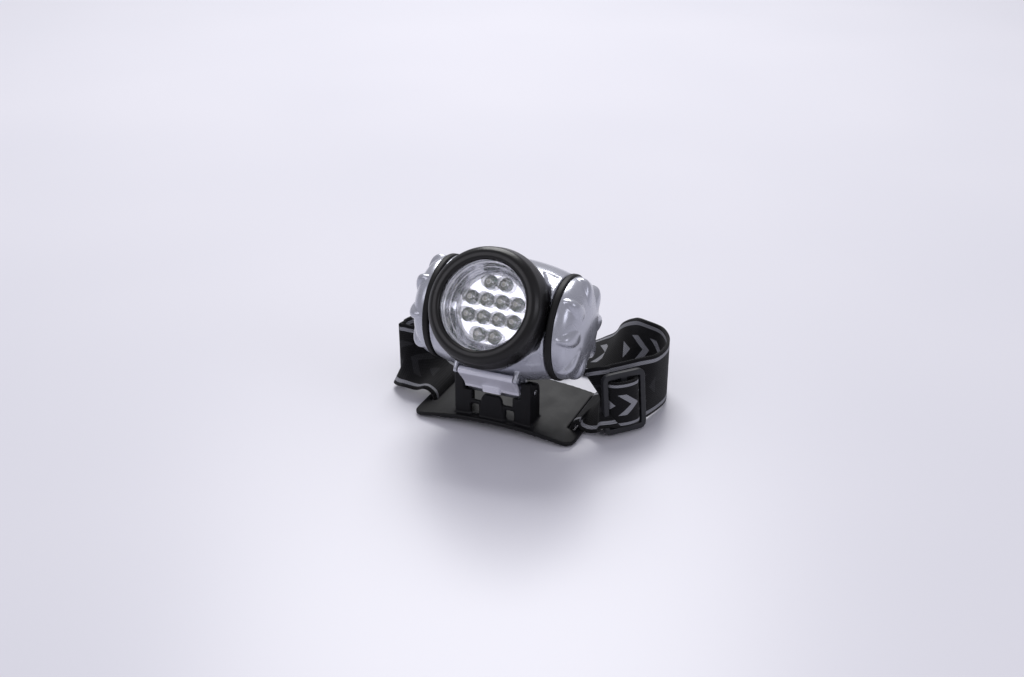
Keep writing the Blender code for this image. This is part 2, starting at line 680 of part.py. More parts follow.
def smooth(points, cuts):
    """A Catmull-Rom curve through rows of numbers."""
    rows = [points[0], *points, points[-1]]
    found = []
    for first, second, third, fourth in zip(rows, rows[1:], rows[2:], rows[3:]):
        for cut in range(cuts):
            t = cut / cuts
            found.append([0.5 * (2 * b + (c - a) * t + (2 * a - 5 * b + 4 * c - d) * t * t
                                 + (3 * b - a - 3 * c + d) * t ** 3)
                          for a, b, c, d in zip(first, second, third, fourth)])
    found.append(list(points[-1]))
    return found


def ribbon(points, width, thick, cuts):
    """A flat band lofted along a smooth path, turning with its width directions."""
    rows = smooth(points, cuts)
    centres = [Vector(row[:3]) for row in rows]
    bm = bmesh.new()
    rings = []
    for index, (centre, row) in enumerate(zip(centres, rows)):
        ahead = centres[min(index + 1, len(rows) - 1)] - centres[max(index - 1, 0)]
        across = Vector(row[3:])
        across = (across - ahead * across.dot(ahead) / ahead.length_squared).normalized()
        normal = ahead.cross(across).normalized() * thick / 2
        across *= width / 2
        corners = [across + normal, across - normal, -across - normal, -across + normal]
        rings.append([bm.verts.new(centre + corner) for corner in corners])
    for ring, following in zip(rings, rings[1:]):
        for side in range(4):
            far = (side + 1) % 4
            bm.faces.new((ring[side], ring[far], following[far], following[side]))
    bm.faces.new(rings[0])
    bm.faces.new(rings[-1])
    bmesh.ops.recalc_face_normals(bm, faces=bm.faces)
    return bm


def add_strap():
    bm = ribbon(STRAP_LEFT + strap_stack() + STRAP_RIGHT, STRAP_WIDTH, STRAP_THICK, 3)
    bmesh.ops.translate(bm, verts=bm.verts, vec=(0, 0, FLOOR_Z))
    add("head_strap", bm, material("webbing", (0.012, 0.012, 0.014), 0.9))


def add_buckle():
    """Slider with two windows and a middle bar, in front of the strap."""
    outline = rounded_rectangle(8.8, -12.0, 12.0, 2.5, 3)
    bm = extruded(outline, -1.1, 1.1, "Z")
    bmesh.ops.rotate(bm, cent=(0, 0, 0), matrix=Matrix.Rotation(math.pi / 2, 3, "X"), verts=bm.verts)
    buckle = add("strap_buckle", bm, material("grey_plastic", (0.03, 0.03, 0.034), 0.5))
    windows = []
    for low, high in ((-6.7, -1.3), (1.3, 6.7)):
        windows.append(cutter(f"buckle_window_{low}", block((low, -3, -9.6), (high, 3, 9.6))))
    place = Matrix.Translation(Vector(BUCKLE_PLACE) * MM)
    turn = Matrix.Rotation(math.radians(48), 4, "Z") @ Matrix.Rotation(math.radians(-8), 4, "X")
    for item in (buckle, *windows):
        item.matrix_world = place @ turn
    for window in windows:
        combine(buckle, window)


clear_scene()
parts = collection(MODEL)
cutters = collection(f"{MODEL}_cutters")
head_pivot = empty("head_pivot", None, (0.0, HINGE_Y, HINGE_Z), HEAD_TILT)
barrel_middle = empty("barrel_middle", head_pivot, (0.0, -BARREL_FORWARD, BARREL_UP))

add_base_plate()
add_pad()
add_hinge_pin()
add_front_housing()
add_rear_housing()
for side_name, side_sign in (("left", -1), ("right", 1)):
    add_end_cap(f"{side_name}_end_cap", side_sign)
    add_o_ring(f"{side_name}_o_ring", side_sign)
add_bezel()
add_lens()
add_lens_gasket()
add_reflector()
add_led_board()
add_leds()
add_switch()
add_cells()
add_contacts()
add_tray()
add_latch()
add_strap()
add_buckle()
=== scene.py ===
"""Twelve-LED headlamp: barrel head on a hinged forehead plate, with its elastic strap.

Sizes are millimetres, and MM turns them into metres where a mesh is made.
"""

import json
import math

import bmesh
import bpy
from mathutils import Matrix, Vector


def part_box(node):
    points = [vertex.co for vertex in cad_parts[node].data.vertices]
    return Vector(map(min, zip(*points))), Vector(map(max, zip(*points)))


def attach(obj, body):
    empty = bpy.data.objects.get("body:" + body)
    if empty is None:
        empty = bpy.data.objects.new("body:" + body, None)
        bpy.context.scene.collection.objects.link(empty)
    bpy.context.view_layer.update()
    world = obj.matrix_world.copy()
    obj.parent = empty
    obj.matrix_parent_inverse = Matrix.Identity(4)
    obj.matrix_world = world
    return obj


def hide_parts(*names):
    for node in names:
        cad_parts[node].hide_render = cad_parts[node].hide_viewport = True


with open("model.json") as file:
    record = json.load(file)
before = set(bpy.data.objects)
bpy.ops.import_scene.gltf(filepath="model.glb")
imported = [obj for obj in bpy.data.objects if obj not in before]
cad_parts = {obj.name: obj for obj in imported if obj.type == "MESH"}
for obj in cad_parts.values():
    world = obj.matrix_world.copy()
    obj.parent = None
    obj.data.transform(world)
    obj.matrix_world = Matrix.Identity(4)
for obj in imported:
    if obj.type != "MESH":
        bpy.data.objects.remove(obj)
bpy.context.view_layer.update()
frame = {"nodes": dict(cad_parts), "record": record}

MM = 0.001


# --- Forehead plate -------------------------------------------------------------------------------
# The curved plate, its hinge posts and the sprung tongue are one moulding in black ABS. A copy of
# the solid is remeshed and eased, which gives it the small radii that the mould leaves, and the
# surface has a spark-eroded grain that breaks up the sheen.

def linear(code):
    """An sRGB hex colour as linear red, green, blue and alpha."""
    shares = [int(code[place:place + 2], 16) / 255 for place in (1, 3, 5)]
    return (*[share / 12.92 if share <= 0.04045 else ((share + 0.055) / 1.055) ** 2.4
              for share in shares], 1.0)


def add_node(tree, kind, settings, links=None):
    """Add a node, with its properties and input values, and link sockets to its inputs."""
    node = tree.nodes.new(kind)
    for name, value in settings.items():
        if isinstance(name, str) and hasattr(node, name):
            setattr(node, name, value)
    for name, value in settings.items():
        if isinstance(name, int) or not hasattr(node, name):
            node.inputs[name].default_value = value
    for name, socket in (links or {}).items():
        tree.links.new(socket, node.inputs[name])
    return node


def finish_of(name, **values):
    """A new material, its node tree and its shader, with the values that are the same all over."""
    look = bpy.data.materials.new(name)
    look.use_nodes = True
    shader = look.node_tree.nodes["Principled BSDF"]
    for socket, value in values.items():
        shader.inputs[socket.replace("_", " ")].default_value = value
    return look, look.node_tree, shader


def moulded_plastic(name, dark, light, low_gloss, high_gloss, grain, depth, level=0.5):
    """Moulded plastic: fine grain in the bump, and soft patches of colour and sheen from handling."""
    look, tree, shader = finish_of(name, IOR=1.5, Specular_IOR_Level=level)
    place = add_node(tree, "ShaderNodeTexCoord", {}).outputs["Object"]
    fine = add_node(tree, "ShaderNodeTexNoise", {"Scale": 1 / (grain * MM), "Detail": 3.0}, {"Vector": place})
    broad = add_node(tree, "ShaderNodeTexNoise", {"Scale": 1 / (9 * MM), "Detail": 5.0}, {"Vector": place})
    tint = add_node(tree, "ShaderNodeMixRGB", {"Color1": linear(dark), "Color2": linear(light)},
                    {"Fac": broad.outputs["Fac"]})
    sheen = add_node(tree, "ShaderNodeMapRange", {"From Min": 0.3, "From Max": 0.7, "To Min": low_gloss,
                                                  "To Max": high_gloss}, {"Value": broad.outputs["Fac"]})
    bump = add_node(tree, "ShaderNodeBump", {"Strength": 0.5, "Distance": depth * MM},
                    {"Height": fine.outputs["Fac"]})
    tree.links.new(tint.outputs["Color"], shader.inputs["Base Color"])
    tree.links.new(sheen.outputs["Result"], shader.inputs["Roughness"])
    tree.links.new(bump.outputs["Normal"], shader.inputs["Normal"])
    return look


def settle(bm, name, look, slot, body, *nodes, sharp=40.0):
    """A finished mesh in metres becomes a piece that rides on a body and stands for CAD nodes."""
    mesh = bpy.data.meshes.new(name)
    bm.to_mesh(mesh)
    bm.free()
    mesh.shade_smooth()
    mesh.set_sharp_from_angle(angle=math.radians(sharp))
    mesh.materials.append(look)
    piece = bpy.data.objects.new(name, mesh)
    bpy.context.scene.collection.objects.link(piece)
    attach(piece, body)
    if nodes:
        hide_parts(*nodes)
    return piece


def merged_copy(node):
    """A CAD solid's mesh with its loose triangles joined."""
    bm = bmesh.new()
    bm.from_mesh(frame["nodes"][node].data)
    bmesh.ops.remove_doubles(bm, verts=bm.verts, dist=0.005 * MM)
    return bm


def eased(bm, voxel, rounds):
    """Remesh overlapping closed shapes as one skin and smooth it, so that its edges get radii."""
    mesh = bpy.data.meshes.new("rough")
    bm.to_mesh(mesh)
    bm.free()
    rough = bpy.data.objects.new("rough", mesh)
    bpy.context.scene.collection.objects.link(rough)
    remesh = rough.modifiers.new("skin", "REMESH")
    remesh.mode = "VOXEL"
    remesh.voxel_size = voxel * MM
    skin = bmesh.new()
    skin.from_object(rough, bpy.context.evaluated_depsgraph_get())
    bpy.data.objects.remove(rough)
    bpy.data.meshes.remove(mesh)
    for _ in range(rounds):
        bmesh.ops.smooth_vert(skin, verts=skin.verts, factor=0.5, use_axis_x=True, use_axis_y=True,
                              use_axis_z=True)
    return skin


black_abs = moulded_plastic("black_abs", "#0c0c0e", "#151518", 0.42, 0.56, 0.45, 0.05, level=0.22)
settle(eased(merged_copy("base_plate"), voxel=0.36, rounds=2), "forehead_plate", black_abs,
       "black_plastic", "base", "base_plate", sharp=60.0)


# --- Forehead pad ---------------------------------------------------------------------------------
# A strip of black closed-cell foam, cut to shape and glued under the plate. Its edges are eased,
# its face is crowned a little, and open pores from the cut show as small pits, whose bottoms are
# painted darker as painted shade.

def foam_finish():
    look, tree, shader = finish_of("cut_foam", Roughness=0.95, Sheen_Weight=0.25)
    place = add_node(tree, "ShaderNodeTexCoord", {}).outputs["Object"]
    pores = add_node(tree, "ShaderNodeTexVoronoi", {"Scale": 1 / (0.7 * MM)}, {"Vector": place})
    # Painted shade: the colour runs from dark at each pore's bottom to paler at its rim.
    tint = add_node(tree, "ShaderNodeMixRGB", {"Color1": linear("#0d0d0e"), "Color2": linear("#2b2b2e")},
                    {"Fac": pores.outputs["Distance"]})
    bump = add_node(tree, "ShaderNodeBump", {"Strength": 0.8, "Distance": 0.15 * MM},
                    {"Height": pores.outputs["Distance"]})
    tree.links.new(tint.outputs["Color"], shader.inputs["Base Color"])
    tree.links.new(bump.outputs["Normal"], shader.inputs["Normal"])
    return look


pad = settle(eased(merged_copy("forehead_pad"), voxel=0.3, rounds=4), "foam_pad", foam_finish(), "foam",
             "base", "forehead_pad", sharp=80.0)


# --- Head frame -----------------------------------------------------------------------------------
# Everything in the head is turned about two lines: the barrel's axis, which lies along X, and the
# beam, which leaves the lens. Pieces are drawn about the barrel's middle with the beam along -Y.
BEZEL_FRONT = 26.3
LENS_FRONT = 24.6

bezel_mount = next(mount for mount in frame["record"]["mounts"] if mount["name"] == "bezel_face")
beam = Vector(bezel_mount["axis"]).normalized()
middle = Vector((0.0, *bezel_mount["pos_m"][1:])) - beam * BEZEL_FRONT * MM
across = Vector((1.0, 0.0, 0.0))
head_turn = Matrix((across, -beam, across.cross(-beam))).transposed().to_4x4()
HEAD_PLACE = Matrix.Translation(middle) @ head_turn @ Matrix.Scale(MM, 4)


def in_head(bm):
    """Take a shape drawn about the barrel's middle to its place."""
    bmesh.ops.transform(bm, matrix=HEAD_PLACE, verts=bm.verts)
    return bm


def turned(outline, steps, axis="Y", closed=True):
    """Spin (distance along the axis, radius) points about the X or the -Y axis."""
    bm = bmesh.new()
    points = []
    for along, radius in outline:
        points.append(bm.verts.new((along, 0.0, radius) if axis == "X" else (0.0, -along, radius)))
    for first, second in zip(points, points[1:]):
        bm.edges.new((first, second))
    if closed:
        bm.edges.new((points[-1], points[0]))
    spin_axis = (1.0, 0.0, 0.0) if axis == "X" else (0.0, 1.0, 0.0)
    bmesh.ops.spin(bm, geom=bm.verts[:] + bm.edges[:], cent=(0, 0, 0), axis=spin_axis,
                   angle=2 * math.pi, steps=steps, use_merge=True, use_duplicate=False)
    bmesh.ops.remove_doubles(bm, verts=bm.verts, dist=0.001)
    loose = [edge for edge in bm.edges if not edge.link_faces]
    bmesh.ops.delete(bm, geom=loose, context="EDGES")
    bmesh.ops.recalc_face_normals(bm, faces=bm.faces)
    return bm


def rounded(outline, radius, count=4, closed=True):
    """Round the corners of an outline with short arcs, no longer than half of each side."""
    found = []
    last = len(outline) - 1
    for index, point in enumerate(outline):
        here = Vector(point)
        if not closed and index in (0, last):
            found.append(here)
            continue
        before = Vector(outline[index - 1]) - here
        after = Vector(outline[(index + 1) % len(outline)]) - here
        reach = min(radius, before.length * 0.45, after.length * 0.45)
        start = here + before.normalized() * reach
        end = here + after.normalized() * reach
        for cut in range(count + 1):
            t = cut / count
            found.append(start * (1 - t) ** 2 + here * 2 * t * (1 - t) + end * t ** 2)
    return found


# --- Housing halves -------------------------------------------------------------------------------
# The barrel is two ABS shells, split behind the lamp, sprayed with a lavender-grey metallic
# lacquer: fine aluminium flakes under a clear coat, with a little orange peel.
BARREL_R = 22.5
BARREL_HALF = 22.6
END_DROP = 3.1
BARREL_POWER = 2.2


def metallic_lacquer(name, dark, light, gloss, metal=0.6):
    look, tree, shader = finish_of(name, Metallic=metal, IOR=1.5, Coat_Weight=0.5, Coat_Roughness=0.1)
    place = add_node(tree, "ShaderNodeTexCoord", {}).outputs["Object"]
    flake = add_node(tree, "ShaderNodeTexVoronoi", {"Scale": 1 / (0.22 * MM)}, {"Vector": place})
    drift = add_node(tree, "ShaderNodeTexNoise", {"Scale": 1 / (14 * MM), "Detail": 3.0}, {"Vector": place})
    peel = add_node(tree, "ShaderNodeTexNoise", {"Scale": 1 / (1.1 * MM), "Detail": 1.0}, {"Vector": place})
    tint = add_node(tree, "ShaderNodeMixRGB", {"Color1": linear(dark), "Color2": linear(light)},
                    {"Fac": flake.outputs["Distance"]})
    sheen = add_node(tree, "ShaderNodeMapRange", {"From Min": 0.35, "From Max": 0.65, "To Min": gloss,
                                                  "To Max": gloss + 0.09}, {"Value": drift.outputs["Fac"]})
    bump = add_node(tree, "ShaderNodeBump", {"Strength": 0.25, "Distance": 0.02 * MM},
                    {"Height": peel.outputs["Fac"]})
    tree.links.new(tint.outputs["Color"], shader.inputs["Base Color"])
    tree.links.new(sheen.outputs["Result"], shader.inputs["Roughness"])
    tree.links.new(bump.outputs["Normal"], shader.inputs["Normal"])
    return look


def barrel_radius(x):
    return BARREL_R - END_DROP * (min(abs(x), BARREL_HALF) / BARREL_HALF) ** BARREL_POWER


def true_barrel(bm):
    """Draw the skin's points that are nearly on the barrel's turned form out onto it."""
    facet_gap = 0.03
    reach = 0.16
    pull = 1.6
    bore_r = 15.0
    back = HEAD_PLACE.inverted()
    for vert in bm.verts:
        place = back @ vert.co
        distance = math.hypot(place.y, place.z)
        gap = barrel_radius(place.x) - distance
        share = max(0.0, 1 - abs(gap - facet_gap) / reach)
        if share and distance > bore_r:
            lift = 1 + gap * min(1.0, share * pull) / distance
            vert.co = HEAD_PLACE @ Vector((place.x, place.y * lift, place.z * lift))
    return bm


silver = metallic_lacquer("silver_lacquer", "#a6a8b2", "#c4c6cf", 0.22)
for shell in ("front", "rear"):
    skin = true_barrel(eased(merged_copy(f"{shell}_housing"), voxel=0.42, rounds=2))
    settle(skin, f"{shell}_shell", silver, "silver_paint", "head", f"{shell}_housing", sharp=70.0)


# --- End caps -------------------------------------------------------------------------------------
# Each end of the barrel has a domed grip cap in the same lacquered ABS. Eight teardrop ribs rise
# from it, pointed by the seal and fat and rounded near the pole, and its back is flat.
CAP_START_X = 25.5
CAP_POLE_X = 33.6
CAP_R = 19.0
CAP_NECK_X = 23.0
CAP_NECK_R = 17.8
CAP_NECK_BORE = 17.1
RIB_COUNT = 8
RIB_RISE = 2.2
RIB_HALF_WIDTH = 3.6
BARREL_FLAT = 16.6
CAP_WALL = 1.6
DOME_POWER = 2.4
RIB_START = 0.06
RIB_RUN = 0.74
SIDES = (("left", -1), ("right", 1))


def dome_line(start, pole, radius, count):
    """A dome's outline from rim to pole, as (distance along the axis, radius)."""
    points = []
    for index in range(count + 1):
        run = math.sin(math.pi / 2 * index / count)
        points.append((start + (pole - start) * run, radius * max(0.0, 1 - run ** DOME_POWER) ** 0.5))
    return points


def rib_height(run, offset):
    """A teardrop's height from how far it is from rim to pole, and how far off its middle line."""
    reach = (run - RIB_START) / RIB_RUN
    if not 0.0 < reach < 1.0:
        return 0.0
    half_width = 0.3 + RIB_HALF_WIDTH * reach ** 0.8 * (1 - reach ** 8) ** 0.5
    crest = max(0.0, 1 - (offset / half_width) ** 2)
    return RIB_RISE * crest * 1.7 * reach * (1 - reach ** 5)


def end_cap(side):
    outside = dome_line(CAP_START_X, CAP_POLE_X, CAP_R, 44)
    inside = dome_line(CAP_START_X - 0.3, CAP_POLE_X - CAP_WALL, CAP_NECK_BORE, 14)
    neck = [(CAP_NECK_X, CAP_NECK_BORE), (CAP_NECK_X, CAP_NECK_R), (CAP_START_X, CAP_NECK_R)]
    bm = turned(neck + outside + inside[::-1], 256, "X")
    pitch = 2 * math.pi / RIB_COUNT
    for vert in bm.verts:
        flat = BARREL_FLAT
        distance = math.hypot(vert.co.y, vert.co.z)
        outward = (vert.co.x - CAP_START_X) / (CAP_POLE_X - CAP_START_X)
        on_dome = CAP_R * max(0.0, 1 - max(0.0, outward) ** DOME_POWER) ** 0.5
        if vert.co.x > CAP_START_X and distance > 0.1 and abs(distance - on_dome) < 0.02:
            turn = math.atan2(vert.co.y, vert.co.z) % pitch - pitch / 2
            lift = rib_height(0.75 * outward + 0.25 * (1 - distance / CAP_R), turn * distance)
            rise = Vector((0.35, vert.co.y / distance, vert.co.z / distance)).normalized()
            vert.co += rise * lift
        elif distance < CAP_NECK_BORE + 0.01:
            flat -= CAP_WALL
        vert.co.y = min(vert.co.y, flat)
    if side < 0:
        bmesh.ops.scale(bm, vec=(-1, 1, 1), verts=bm.verts)
        bmesh.ops.reverse_faces(bm, faces=bm.faces)
    return in_head(bm)


for side_name, side in SIDES:
    settle(end_cap(side), f"{side_name}_grip_cap", silver, "silver_paint", "head", f"{side_name}_end_cap",
           sharp=60.0)


# --- Seals ----------------------------------------------------------------------------------------
# A black nitrile ring sits proud between the barrel and each cap, and a thin gasket lies behind
# the lens. Both are moulded, with a dull surface that has a faint bloom.
RING_INNER_X = 22.9
RING_OUTER_X = 25.3
RING_BORE = 18.0
RING_R = 19.8

nitrile = moulded_plastic("nitrile_rubber", "#0a0a0b", "#131314", 0.48, 0.6, 0.6, 0.03, level=0.3)


def seal_ring(side):
    corners = [(side * RING_INNER_X, RING_BORE), (side * RING_INNER_X, RING_R),
               (side * RING_OUTER_X, RING_R), (side * RING_OUTER_X, RING_BORE)]
    return in_head(turned(rounded(corners, 1.2, 6), 144, "X"))


for side_name, side in SIDES:
    settle(seal_ring(side), f"{side_name}_seal", nitrile, "rubber", "head", f"{side_name}_o_ring")

gasket = [(22.05, 18.0), (22.85, 18.0), (22.85, 18.9), (22.05, 18.9)]
settle(in_head(turned(rounded(gasket, 0.25, 2), 96)), "gasket_ring", nitrile, "rubber", "head", "lens_gasket")


# --- Bezel ----------------------------------------------------------------------------------------
# The screwed ring that clamps the lens is near-black satin ABS. Its front is a broad soft roll,
# with a sloping inner lip down to the lens and a plain skirt behind.
LENS_VIEW_R = 16.0
BEZEL_BACK = 15.5
BEZEL_BACK_R = 22.4
COLLAR_FRONT = 21.8
COLLAR_R = 19.4

bezel_outline = [(24.8, LENS_VIEW_R), (BEZEL_FRONT, LENS_VIEW_R + 1.0), (BEZEL_FRONT, 19.4), (24.6, 21.3),
                 (18.5, BEZEL_BACK_R), (BEZEL_BACK, BEZEL_BACK_R - 0.1), (BEZEL_BACK, COLLAR_R + 0.35),
                 (COLLAR_FRONT, COLLAR_R + 0.35), (COLLAR_FRONT, 19.2), (24.8, 19.2)]
satin_abs = moulded_plastic("satin_abs", "#0c0b0c", "#141314", 0.25, 0.34, 0.5, 0.02, level=0.35)
settle(in_head(turned(rounded(bezel_outline, 0.9, 6), 192)), "bezel_ring", satin_abs, "bezel_plastic",
       "head", "bezel")


# --- Lens -----------------------------------------------------------------------------------------
# A clear polycarbonate disc, moulded and unpainted. Part of its surface is left to pass light
# straight through, as a thin clear plate does, and the rest bends and mirrors it.
LENS_R = 18.8
LENS_THICK = 1.5


def clear_plastic(name, tint, alpha):
    look, tree, shader = finish_of(name, IOR=1.58, Transmission_Weight=1.0, Alpha=alpha)
    place = add_node(tree, "ShaderNodeTexCoord", {}).outputs["Object"]
    haze = add_node(tree, "ShaderNodeTexNoise", {"Scale": 1 / (3 * MM), "Detail": 4.0}, {"Vector": place})
    gloss = add_node(tree, "ShaderNodeMapRange", {"From Min": 0.4, "From Max": 0.8, "To Min": 0.01,
                                                  "To Max": 0.06}, {"Value": haze.outputs["Fac"]})
    shader.inputs["Base Color"].default_value = linear(tint)
    tree.links.new(gloss.outputs["Result"], shader.inputs["Roughness"])
    return look


lens_back = LENS_FRONT - LENS_THICK
lens_outline = [(LENS_FRONT, 0.0), (LENS_FRONT, LENS_R), (lens_back, LENS_R), (lens_back, 0.0)]
settle(in_head(turned(rounded(lens_outline, 0.3, 3, closed=False), 128, closed=False)), "clear_lens",
       clear_plastic("clear_polycarbonate", "#f6f8ff", 0.22), "clear_plastic", "head", "lens")


# --- Reflector ------------------------------------------------------------------------------------
# A shallow dished cup, vacuum-plated with aluminium over a gloss base coat. A rolled rim meets the
# gasket, and the floor has a hole for each LED.
REFLECTOR_FRONT = 22.7
REFLECTOR_FLOOR = 13.6
CUP_WALL = 0.9
LED_PITCH_X = 6.0
LED_PITCH_Z = 6.4
LED_R = 2.5
LED_TIP = 20.6


def led_places():
    """Rows of two, four, four and two, as (x, z)."""
    places = []
    for row, count in ((1.5, 2), (0.5, 4), (-0.5, 4), (-1.5, 2)):
        for index in range(count):
            places.append((LED_PITCH_X * (index - (count - 1) / 2), LED_PITCH_Z * row))
    return places


def plated_cup():
    face = REFLECTOR_FLOOR + CUP_WALL
    outline = [(REFLECTOR_FLOOR, 0.0), (REFLECTOR_FLOOR, 14.4), (REFLECTOR_FRONT, 17.5),
               (REFLECTOR_FRONT, 16.7), (REFLECTOR_FRONT - 0.9, 16.4), (REFLECTOR_FRONT - 1.1, 15.9),
               (REFLECTOR_FRONT - 3.6, 15.2), (REFLECTOR_FRONT - 3.8, 14.8), (face + 0.6, 13.9),
               (face, 12.9), (face, 0.0)]
    bm = turned(rounded(outline, 0.5, 5, closed=False), 160, closed=False)
    mesh = bpy.data.meshes.new("cup")
    bm.to_mesh(mesh)
    bm.free()
    cup = bpy.data.objects.new("cup", mesh)
    holes = bmesh.new()
    for x, z in led_places():
        place = Matrix.Translation((x, -REFLECTOR_FLOOR, z)) @ Matrix.Rotation(math.pi / 2, 4, "X")
        bmesh.ops.create_cone(holes, cap_ends=True, segments=32, radius1=LED_R + 0.25,
                              radius2=LED_R + 0.25, depth=6, matrix=place)
    drill_mesh = bpy.data.meshes.new("drill")
    holes.to_mesh(drill_mesh)
    holes.free()
    drill = bpy.data.objects.new("drill", drill_mesh)
    for item in (cup, drill):
        bpy.context.scene.collection.objects.link(item)
    cut = cup.modifiers.new("holes", "BOOLEAN")
    cut.object = drill
    cut.operation = "DIFFERENCE"
    done = bmesh.new()
    done.from_object(cup, bpy.context.evaluated_depsgraph_get())
    for item in (cup, drill):
        bpy.data.objects.remove(item)
    return in_head(done)


def vacuum_plating():
    look, tree, shader = finish_of("vacuum_plating", Metallic=1.0)
    place = add_node(tree, "ShaderNodeTexCoord", {}).outputs["Object"]
    ripple = add_node(tree, "ShaderNodeTexNoise", {"Scale": 1 / (5 * MM), "Detail": 1.0}, {"Vector": place})
    gloss = add_node(tree, "ShaderNodeMapRange", {"From Min": 0.3, "From Max": 0.7, "To Min": 0.03,
                                                  "To Max": 0.07}, {"Value": ripple.outputs["Fac"]})
    bump = add_node(tree, "ShaderNodeBump", {"Strength": 0.2, "Distance": 0.04 * MM},
                    {"Height": ripple.outputs["Fac"]})
    shader.inputs["Base Color"].default_value = linear("#f1f2f6")
    tree.links.new(gloss.outputs["Result"], shader.inputs["Roughness"])
    tree.links.new(bump.outputs["Normal"], shader.inputs["Normal"])
    return look


settle(plated_cup(), "plated_cup", vacuum_plating(), "chrome", "head", "reflector", sharp=30.0)


# --- LEDs -----------------------------------------------------------------------------------------
# Twelve 5 mm LEDs. Each is a bullet of clear epoxy with a flange, cast over a small steel cup that
# holds a yellow phosphor chip, with the second lead's post beside it.
BOARD_FRONT = 12.0
FLANGE_R = 2.6


def led_bullet(x, z):
    base = BOARD_FRONT + 0.3
    straight = LED_TIP - LED_R
    outline = [(base, 0.0), (base, FLANGE_R), (base + 1.0, FLANGE_R), (base + 1.0, LED_R), (straight, LED_R)]
    for index in range(1, 13):
        angle = math.pi / 2 * index / 12
        outline.append((straight + LED_R * math.sin(angle), LED_R * math.cos(angle)))
    bm = turned(outline, 36, closed=False)
    bmesh.ops.translate(bm, verts=bm.verts, vec=(x, 0, z))
    return in_head(bm)


def led_insides(outline, shift):
    """One small turned shape, repeated in every LED."""
    bm = bmesh.new()
    for x, z in led_places():
        shape = turned(outline, 20)
        bmesh.ops.translate(shape, verts=shape.verts, vec=(x + shift, 0, z))
        scrap = bpy.data.meshes.new("scrap")
        shape.to_mesh(scrap)
        shape.free()
        bm.from_mesh(scrap)
        bpy.data.meshes.remove(scrap)
    return in_head(bm)


def plain_metal(name, code, low, high, grain):
    """Bare or plated metal, with a drawn or rolled grain in its sheen."""
    look, tree, shader = finish_of(name, Metallic=1.0)
    place = add_node(tree, "ShaderNodeTexCoord", {}).outputs["Object"]
    grained = add_node(tree, "ShaderNodeTexNoise", {"Scale": 1 / (grain * MM), "Detail": 4.0},
                       {"Vector": place})
    gloss = add_node(tree, "ShaderNodeMapRange", {"From Min": 0.3, "From Max": 0.7, "To Min": low,
                                                  "To Max": high}, {"Value": grained.outputs["Fac"]})
    shader.inputs["Base Color"].default_value = linear(code)
    tree.links.new(gloss.outputs["Result"], shader.inputs["Roughness"])
    return look


def phosphor():
    """Yellow phosphor in silicone, cast over the chip: dull, and faintly mottled."""
    look, tree, shader = finish_of("cast_phosphor", Roughness=0.6)
    place = add_node(tree, "ShaderNodeTexCoord", {}).outputs["Object"]
    mottle = add_node(tree, "ShaderNodeTexNoise", {"Scale": 1 / (0.3 * MM), "Detail": 2.0}, {"Vector": place})
    tint = add_node(tree, "ShaderNodeMixRGB", {"Color1": linear("#cfcdb4"), "Color2": linear("#e9e8dc")},
                    {"Fac": mottle.outputs["Fac"]})
    tree.links.new(tint.outputs["Color"], shader.inputs["Base Color"])
    return look


epoxy = clear_plastic("clear_epoxy", "#fbfbff", 0.4)
for number, (x, z) in enumerate(led_places(), 1):
    settle(led_bullet(x, z), f"led_bullet_{number:02d}", epoxy, "led_epoxy", "head", f"led_{number:02d}")

spring_steel = plain_metal("bright_steel", "#c9cacd", 0.2, 0.34, 0.8)
tinned_steel = plain_metal("tinned_steel", "#d9dae0", 0.2, 0.35, 0.4)
cup_outline = [(15.2, 0.05), (15.2, 0.4), (15.6, 0.5), (16.5, 1.0), (16.5, 0.85), (16.0, 0.45), (16.0, 0.05)]
settle(led_insides(cup_outline, -0.3), "led_cups", tinned_steel, "nickel", "head")
settle(led_insides([(16.05, 0.05), (16.05, 0.42), (16.4, 0.7), (16.45, 0.05)], -0.3), "led_chips", phosphor(),
       "led_epoxy", "head")
settle(led_insides([(13.0, 0.05), (13.0, 0.35), (16.4, 0.35), (16.4, 0.05)], 1.3), "led_posts", tinned_steel,
       "nickel", "head")


# --- Circuit board --------------------------------------------------------------------------------
# The LEDs stand on a round glass-epoxy board with a green solder mask. The weave of the glass
# shows faintly through the mask.

def solder_mask():
    look, tree, shader = finish_of("solder_mask", Roughness=0.35, IOR=1.5)
    place = add_node(tree, "ShaderNodeTexCoord", {}).outputs["Object"]
    turn = add_node(tree, "ShaderNodeMapping", {"Scale": (1 / (0.8 * MM),) * 3}, {"Vector": place})
    weave = add_node(tree, "ShaderNodeTexChecker", {"Scale": 1.0}, {"Vector": turn.outputs["Vector"]})
    tint = add_node(tree, "ShaderNodeMixRGB", {"Color1": linear("#0f4a26"), "Color2": linear("#165c30")},
                    {"Fac": weave.outputs["Fac"]})
    tree.links.new(tint.outputs["Color"], shader.inputs["Base Color"])
    return look


board_outline = [(10.8, 0.0), (10.8, 16.0), (BOARD_FRONT, 16.0), (BOARD_FRONT, 0.0)]
settle(in_head(turned(rounded(board_outline, 0.15, 2, closed=False), 96, closed=False)), "round_board",
       solder_mask(), "circuit_board", "head", "led_board")


# --- Switch ---------------------------------------------------------------------------------------
# The push switch is under a moulded rubber cap with a dished top, in a hole above the beam. The
# small tact switch below it is a CAD piece and keeps its own shape.
BUTTON_BACK = math.radians(25.0)
BUTTON_R = 3.8
BUTTON_TOP = 24.0


